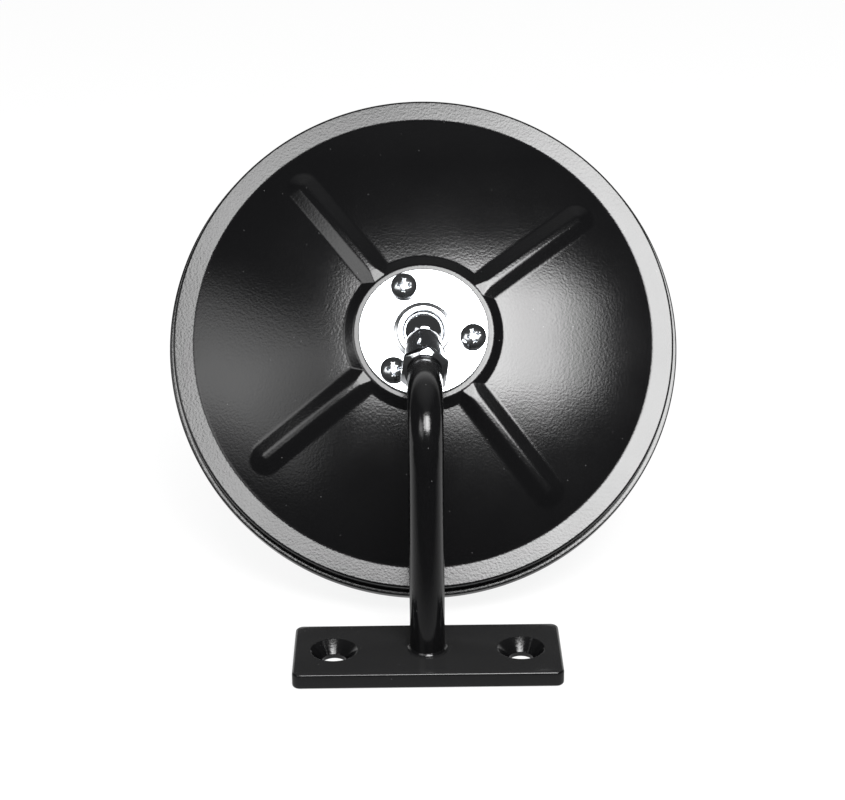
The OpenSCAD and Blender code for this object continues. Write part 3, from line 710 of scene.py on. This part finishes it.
def shell_height(s, radius, angle):
    """Height of the pressed back over polar points: the highest of dome, flat ring, boss and four ribs.

    The dome is part of a sphere through the ring's inner edge and the foot of the boss, the boss a cone cut off
    flat, and a rib a ridge with even flanks that follows the dome to a conical end and runs level into the boss.
    Creases and edges between them are blended.
    """
    foot_r, foot_h = s.boss_top_r + s.boss_flare, s.boss_top_h - s.boss_h
    dome_c = (foot_h ** 2 + foot_r ** 2 - s.ring_in_r ** 2) / (2 * foot_h)
    dome = dome_c + np.sqrt(s.ring_in_r ** 2 + dome_c ** 2 - radius ** 2)
    height = smooth_max(dome, 0 * radius, s.ring_crease)
    off = (angle - s.rib_start + math.pi / 4) % (math.pi / 2) - math.pi / 4
    past = np.clip(radius * np.cos(off) - s.rib_out_r, 0, None)
    away = np.hypot(radius * np.sin(off), past) - s.rib_crest_w / 2
    flank = s.rib_h * (1 - 2 * away / (s.rib_w - s.rib_crest_w))
    rib = dome + smooth_min(flank, 0 * flank + s.rib_h, s.rib_crest_round)
    rib = smooth_min(rib, 0 * rib + s.boss_top_h - s.rib_drop, s.press_crease)
    height = smooth_max(height, rib, s.press_crease)
    slope = s.boss_h / s.boss_flare
    boss = smooth_min(0 * radius + s.boss_top_h, s.boss_top_h - slope * (radius - s.boss_top_r), s.boss_round)
    return smooth_max(height, boss, s.press_crease)


def shell_rows(s):
    """Rows out over the pressed back, down its wall, round its lip and back under it, a sheet's thickness below.

    The rows are closer at the boss's wall, the ribs' ends and the ring's crease. The columns crowd towards the ribs:
    the angle's share is u less a sine of u in each quarter.
    """
    quarter = np.arange(COLUMNS["quarter"]) / COLUMNS["quarter"]
    share = quarter - RIB_CROWD * np.sin(2 * math.pi * quarter) / (2 * math.pi)
    angle = s.rib_start + ((np.arange(4)[:, None] + share) * math.pi / 2).ravel()
    foot_r, ring_end, back_end = s.boss_top_r + s.boss_flare, s.wall_r - s.wall_edge - 0.2 * MM, s.wall_r - 2.4 * MM
    near, before, past = 1.2 * MM, 3 * MM, 9 * MM
    outer = spaced(
        (s.boss_hole_r, s.boss_top_r - near, foot_r + near, s.rib_out_r - before, s.rib_out_r + past,
         s.ring_in_r - near, s.ring_in_r + near, ring_end), (6, 32, 26, 30, 5, 13, 4))
    inner = spaced((s.boss_hole_r, foot_r, s.rib_out_r, s.ring_in_r, back_end), (12, 14, 14, 4))[::-1]
    lip_top, lip_r, inside_r = -s.band_top_h - s.band_t, s.band_r - s.band_t - s.play, s.wall_r - s.sheet
    hem = rounded([
        (ring_end, 0, 0), (s.wall_r, 0, s.wall_edge), (s.wall_r, lip_top, 0.4 * MM), (lip_r, lip_top, 0.2 * MM),
        (lip_r, lip_top - s.sheet, 0.2 * MM), (inside_r, lip_top - s.sheet, 0.8 * MM),
        (inside_r, -s.sheet, 0.8 * MM), (back_end, -s.sheet, 0)], closed=False)[1:-1]
    height = np.vstack([
        shell_height(s, outer[:, None], angle[None, :]), np.repeat(hem[:, 1:], len(angle), axis=1),
        shell_height(s, inner[:, None], angle[None, :]) - s.sheet])
    return polar(np.concatenate([outer, hem[:, 0], inner])[:, None], angle, height)


class MIRROR_OT_rim(bpy.types.Operator):
    """Rolled rim band and the rubber channel inside it."""

    bl_idname = "mirror.rim"
    bl_label = "Rim band and gasket"

    def execute(self, context):
        s = context.scene.mirror_head
        band = skin("rolled_rim", on_head(s, lathe(band_profile(s), COLUMNS["rim"])))
        dress(band, "mirror_head", "black_powder_coat", satin_black_powder_coat, "rim_band")
        gasket = skin("rubber_channel", on_head(s, lathe(gasket_profile(s), COLUMNS["gasket"])))
        dress(gasket, "mirror_head", "rubber", extruded_rubber, "rim_gasket")
        return {"FINISHED"}


def band_profile(s):
    """The rim band's half section: a sheet rolled over the shell's lip and round the mirror's edge."""
    top, front, t = -s.band_top_h, -s.band_front_h, s.band_t
    nip_r, bend, hem = s.wall_r + s.play, 0.15 * MM, 0.3 * MM
    return rounded([
        (nip_r, top, bend), (s.band_r, top, s.band_edge), (s.band_r, front, s.band_edge),
        (s.band_lip_r, front, hem), (s.band_lip_r, front + t, hem), (s.band_r - t, front + t, bend),
        (s.band_r - t, top - t, bend), (nip_r, top - t, bend)])


def glass_face(s, radius, depth):
    """Height of the mirror's sphere over a radius, a depth behind its front face."""
    rim = math.sqrt(s.glass_bulge_r ** 2 - s.glass_r ** 2)
    return rim - s.glass_edge_h - np.sqrt((s.glass_bulge_r - depth) ** 2 - radius ** 2)


def gasket_profile(s):
    """The rubber channel's half section: a bar that fills the band, with a groove for the mirror's edge."""
    outer_r = s.band_r - s.band_t - s.play
    top = -s.band_top_h - s.band_t - s.sheet - s.play
    front = s.play + s.band_t - s.band_front_h
    groove_r = s.glass_r + s.play
    return rounded([
        (s.gasket_in_r, top, 0.2 * MM), (outer_r, top, 0.2 * MM), (outer_r, front, 0.2 * MM),
        (s.gasket_in_r, front, 0.12 * MM), (s.gasket_in_r, glass_face(s, s.gasket_in_r, -s.play), 0.12 * MM),
        (groove_r, glass_face(s, groove_r, -s.play), 0.1 * MM),
        (groove_r, glass_face(s, groove_r, s.glass_t + s.play), 0.1 * MM),
        (s.gasket_in_r, glass_face(s, s.gasket_in_r, s.glass_t + s.play), 0.2 * MM)])


class MIRROR_OT_glass(bpy.types.Operator):
    """Bulged mirror glass on the front."""

    bl_idname = "mirror.glass"
    bl_label = "Mirror glass"

    def execute(self, context):
        s = context.scene.mirror_head
        piece = skin("convex_mirror", on_head(s, lathe(glass_profile(s), COLUMNS["glass"])), closed=False)
        dress(piece, "mirror_head", "mirror_glass", silvered_glass, "mirror_glass")
        return {"FINISHED"}


def glass_profile(s):
    """The mirror's half section: two spheres about one centre, joined by a ground edge with seamed corners."""
    radius = spaced((0.4 * MM, s.glass_r - 0.6 * MM), (60,))
    front = np.stack([radius, glass_face(s, radius, 0)], axis=-1)
    back = np.stack([radius, glass_face(s, radius, s.glass_t)], axis=-1)[::-1]
    edge = rounded([
        (*front[-1], 0), (s.glass_r, glass_face(s, s.glass_r, 0), 0.4 * MM),
        (s.glass_r, glass_face(s, s.glass_r, s.glass_t), 0.4 * MM), (*back[0], 0)], closed=False)[1:-1]
    return np.vstack([front, edge, back])


class MIRROR_OT_inside(bpy.types.Operator):
    """Finishes of the solids inside the head, whose shapes stay as packed."""

    bl_idname = "mirror.inside"
    bl_label = "Pad, spring, cup and nuts"

    def execute(self, context):
        finishes = {"seat_pad": moulded_nylon, "spring_washer": drawn_steel, "socket_cup": drawn_steel,
                    "weld_nut_1": drawn_steel, "weld_nut_2": drawn_steel, "weld_nut_3": drawn_steel}
        for node, draw in finishes.items():
            materials = frame["nodes"][node].data.materials
            materials.clear()
            materials.append(finish(draw))
        return {"FINISHED"}


# Stage: lengths in metres, and levels of glow, of which 1 is white

FLOOR_HALF = 6.0
FLOOR_GAP = 0.2 * MM
# The floor in reflections: dark on the camera's side, light past the plate, and with an oval shade under the rim
FLOOR_DARK_Y, FLOOR_LIGHT_Y, FLOOR_DARK = -0.08, 0.04, 0.04
SHADE_SHARE, SHADE_PLACE = (0.4, 1.0, 0.0), (0.0, 0.07, 0.0)
SHADE_DARK_R, SHADE_LIGHT_R, SHADE_DARK = 0.016, 0.045, 0.2
# The floor to the camera: its glow, and the share of plain paper in it that takes the shadow
FLOOR_WHITE, PAPER_SHARE = 1.2, 0.25
# The room in reflections: dark and white by how far a direction points past the mirror, and its diffuse light
ROOM_DARK_Y, ROOM_WHITE_Y, ROOM_DARK, ROOM_FILL = 0.5, 0.9, 0.05, 0.6
# Camera: the lens's length in pixels of the picture, the sensor's width, the place and the angles
LENS_PX = 2197.63
SENSOR_MM = 36.0
CAMERA_PLACE = (-0.00579, -0.72849, 0.39682)
CAMERA_PITCH, CAMERA_YAW, CAMERA_ROLL = math.radians(21.76), math.radians(0.37), math.radians(-0.49)
# Lamps: azimuth to the right of straight behind and elevation in degrees, distance from the ball in metres, radiance
# of one panel, and the left, right, lower and upper edges in metres of the panels that hang before one another
LAMPS = {
    "key": (0.6, 46.8, 1.5, 3.7, (
        (-0.31, 0.79, -0.25, 0.22), (-0.30, 0.71, -0.28, 0.28), (-0.28, 0.60, -0.30, 0.33),
        (0.0, 0.58, -0.40, 0.31), (0.1, 0.36, -0.31, 0.31))),
    "fill": (-38, 36, 2.5, 0.8, (
        (-0.55, 0.8, -0.55, 0.52), (-0.45, 0.65, -0.37, 0.42), (-0.4, 0.45, -0.3, 0.3), (-0.3, 0.25, -0.22, 0.15))),
}
LAMP_STEP = 0.004


class MIRROR_OT_stage(bpy.types.Operator):
    """Pale floor, soft studio light and the camera behind the mirror."""

    bl_idname = "mirror.stage"
    bl_label = "Stage"

    def execute(self, context):
        lay_floor(opaque(context.scene.mirror_finishes.floor))
        hang_lamps()
        light_world()
        aim_camera()
        context.scene.view_settings.view_transform = "Standard"
        return {"FINISHED"}


def seen_share(tree):
    """1 where a camera, glossy or transmission ray looks at the background, and 0 for the light that it gives."""
    path = add_node(tree, "ShaderNodeLightPath")
    either = add_node(tree, "ShaderNodeMath", {
        0: path.outputs["Is Camera Ray"], 1: path.outputs["Is Glossy Ray"]}, operation="MAXIMUM")
    return add_node(tree, "ShaderNodeMath", {
        0: either.outputs["Value"], 1: path.outputs["Is Transmission Ray"]}, operation="MAXIMUM").outputs["Value"]


def lay_floor(tint):
    """A wide square just under the base plate: white to the eye, and shaded where the object keeps light off it.

    In reflections it darkens from behind the plate towards the camera, as paper does that is lit from above, and
    in the narrow shade under the mirror's rim.
    """
    corner = np.array([(-1, -1), (1, -1), (1, 1), (-1, 1)]) * FLOOR_HALF
    mesh = bpy.data.meshes.new("studio_floor")
    mesh.from_pydata(np.column_stack([corner, np.full(4, PLATE_LOW.z - FLOOR_GAP)]).tolist(), [], [(0, 1, 2, 3)])
    floor = put("studio_floor", mesh)
    material, tree, place = blank_material("pale_paper")
    paper = add_node(tree, "ShaderNodeBsdfDiffuse", {"Color": tint})
    path = add_node(tree, "ShaderNodeLightPath")
    fade = add_node(tree, "ShaderNodeMapRange", {
        "Value": add_node(tree, "ShaderNodeSeparateXYZ", {"Vector": place}).outputs["Y"],
        "From Min": FLOOR_DARK_Y, "From Max": FLOOR_LIGHT_Y, "To Min": FLOOR_DARK, "To Max": 1.0})
    narrow = add_node(tree, "ShaderNodeVectorMath", {0: place, 1: SHADE_SHARE}, operation="MULTIPLY")
    reach = add_node(tree, "ShaderNodeVectorMath", {
        0: narrow.outputs["Vector"], 1: SHADE_PLACE}, operation="DISTANCE")
    shade = add_node(tree, "ShaderNodeMapRange", {
        "Value": reach.outputs["Value"], "From Min": SHADE_DARK_R, "From Max": SHADE_LIGHT_R,
        "To Min": SHADE_DARK, "To Max": 1.0})
    lit = add_node(tree, "ShaderNodeMath", {
        0: fade.outputs["Result"], 1: shade.outputs["Result"]}, operation="MULTIPLY")
    level = add_node(tree, "ShaderNodeMix", {
        "Factor": path.outputs["Is Camera Ray"], "A": lit.outputs["Value"], "B": FLOOR_WHITE}, data_type="FLOAT")
    glow = add_node(tree, "ShaderNodeEmission", {"Color": tint, "Strength": level.outputs["Result"]})
    share = add_node(tree, "ShaderNodeMath", {
        0: path.outputs["Is Camera Ray"], 1: -PAPER_SHARE, 2: seen_share(tree)}, operation="MULTIPLY_ADD")
    mix = add_node(tree, "ShaderNodeMixShader", {
        "Fac": share.outputs["Value"], 1: paper.outputs["BSDF"], 2: glow.outputs["Emission"]})
    add_node(tree, "ShaderNodeOutputMaterial", {"Surface": mix.outputs["Shader"]})
    mesh.materials.append(material)


def direction(azimuth, elevation):
    """The direction to a place behind the mirror, from its azimuth to the right and its elevation."""
    flat = math.cos(elevation)
    return Vector((math.sin(azimuth) * flat, -math.cos(azimuth) * flat, math.sin(elevation)))


def hang_lamps():
    """A soft lamp above the camera, where the flat ring reflects it, and a dimmer one at left.

    Each is a pile of panels, so that it is brightest in the middle and fades towards its edges.
    """
    for name, (azimuth, elevation, distance, radiance, panels) in LAMPS.items():
        towards = direction(math.radians(azimuth), math.radians(elevation))
        facing = towards.to_track_quat("Z", "Y")
        for number, (left, right, low, high) in enumerate(panels):
            lamp = bpy.data.lights.new(name, "AREA")
            lamp.shape = "RECTANGLE"
            lamp.size, lamp.size_y = right - left, high - low
            lamp.energy = radiance * math.pi * lamp.size * lamp.size_y
            panel = put(name, lamp)
            middle = Vector(((left + right) / 2, (low + high) / 2, -number * LAMP_STEP))
            panel.location = Vector(BALL) + distance * towards + facing @ middle
            panel.rotation_euler = facing.to_euler()


def light_world():
    """White to the camera. In reflections, a white backdrop on the mirror's far side and a dark room on this one."""
    world = bpy.data.worlds.new("studio")
    bpy.context.scene.world = world
    world.use_nodes = True
    tree = world.node_tree
    tree.nodes.clear()
    path = add_node(tree, "ShaderNodeLightPath")
    split = add_node(tree, "ShaderNodeSeparateXYZ", {
        "Vector": add_node(tree, "ShaderNodeTexCoord").outputs["Generated"]})
    room = add_node(tree, "ShaderNodeMapRange", {
        "Value": split.outputs["Y"], "From Min": ROOM_DARK_Y, "From Max": ROOM_WHITE_Y,
        "To Min": ROOM_DARK, "To Max": 1.0}, interpolation_type="SMOOTHSTEP")
    fill = add_node(tree, "ShaderNodeMix", {
        "Factor": path.outputs["Is Diffuse Ray"], "A": room.outputs["Result"], "B": ROOM_FILL}, data_type="FLOAT")
    strength = add_node(tree, "ShaderNodeMix", {
        "Factor": path.outputs["Is Camera Ray"], "A": fill.outputs["Result"], "B": 1.0}, data_type="FLOAT")
    sky = add_node(tree, "ShaderNodeBackground", {
        "Color": opaque(linear("#ffffff")), "Strength": strength.outputs["Result"]})
    add_node(tree, "ShaderNodeOutputWorld", {"Surface": sky.outputs["Background"]})


def aim_camera():
    """A long lens behind and above the mirror, pitched down, yawed to the right and rolled about the view."""
    forward = -direction(-CAMERA_YAW, CAMERA_PITCH)
    level = Vector((math.cos(CAMERA_YAW), -math.sin(CAMERA_YAW), 0))
    above = level.cross(forward)
    right = math.cos(CAMERA_ROLL) * level + math.sin(CAMERA_ROLL) * above
    up = math.cos(CAMERA_ROLL) * above - math.sin(CAMERA_ROLL) * level
    pose = Matrix((right, up, -forward)).transposed().to_4x4()
    pose.translation = Vector(CAMERA_PLACE)
    lens = bpy.data.cameras.new("photo_view")
    lens.sensor_width = SENSOR_MM
    lens.lens = LENS_PX / IMAGE_WIDTH_PX * SENSOR_MM
    camera = put("photo_view", lens)
    camera.matrix_world = pose
    bpy.context.scene.camera = camera


class MIRROR_PT_pieces(bpy.types.Panel):
    """Lists the pieces and the stage, each with the button that makes it."""

    bl_label = "Convex mirror"
    bl_idname = "MIRROR_PT_pieces"
    bl_space_type = "VIEW_3D"
    bl_region_type = "UI"
    bl_category = "Mirror"

    def draw(self, context):
        for step in STEPS:
            self.layout.operator(step.bl_idname)
        for group in GROUPS:
            sizes = getattr(context.scene, group)
            box = self.layout.box()
            for name in type(sizes).__annotations__:
                box.prop(sizes, name)


STEPS = (MIRROR_OT_base_plate, MIRROR_OT_arm, MIRROR_OT_stud, MIRROR_OT_clamp, MIRROR_OT_shell, MIRROR_OT_rim,
         MIRROR_OT_glass, MIRROR_OT_inside, MIRROR_OT_stage)
GROUPS = {"mirror_bracket": BracketSizes, "mirror_head": HeadSizes, "mirror_finishes": Finishes}
CLASSES = (*GROUPS.values(), *STEPS, MIRROR_PT_pieces)


def register():
    """Makes the classes known and gives the scene its groups of sizes and colours."""
    for cls in CLASSES:
        bpy.utils.register_class(cls)
    for name, group in GROUPS.items():
        setattr(bpy.types.Scene, name, bpy.props.PointerProperty(type=group))


def unregister():
    """Takes the groups and the classes away again."""
    for name in GROUPS:
        delattr(bpy.types.Scene, name)
    for cls in reversed(CLASSES):
        bpy.utils.unregister_class(cls)


def main():
    """Makes every piece and the stage."""
    register()
    for step in STEPS:
        category, name = step.bl_idname.split(".")
        getattr(getattr(bpy.ops, category), name)()


if __name__ == "__main__":
    main()
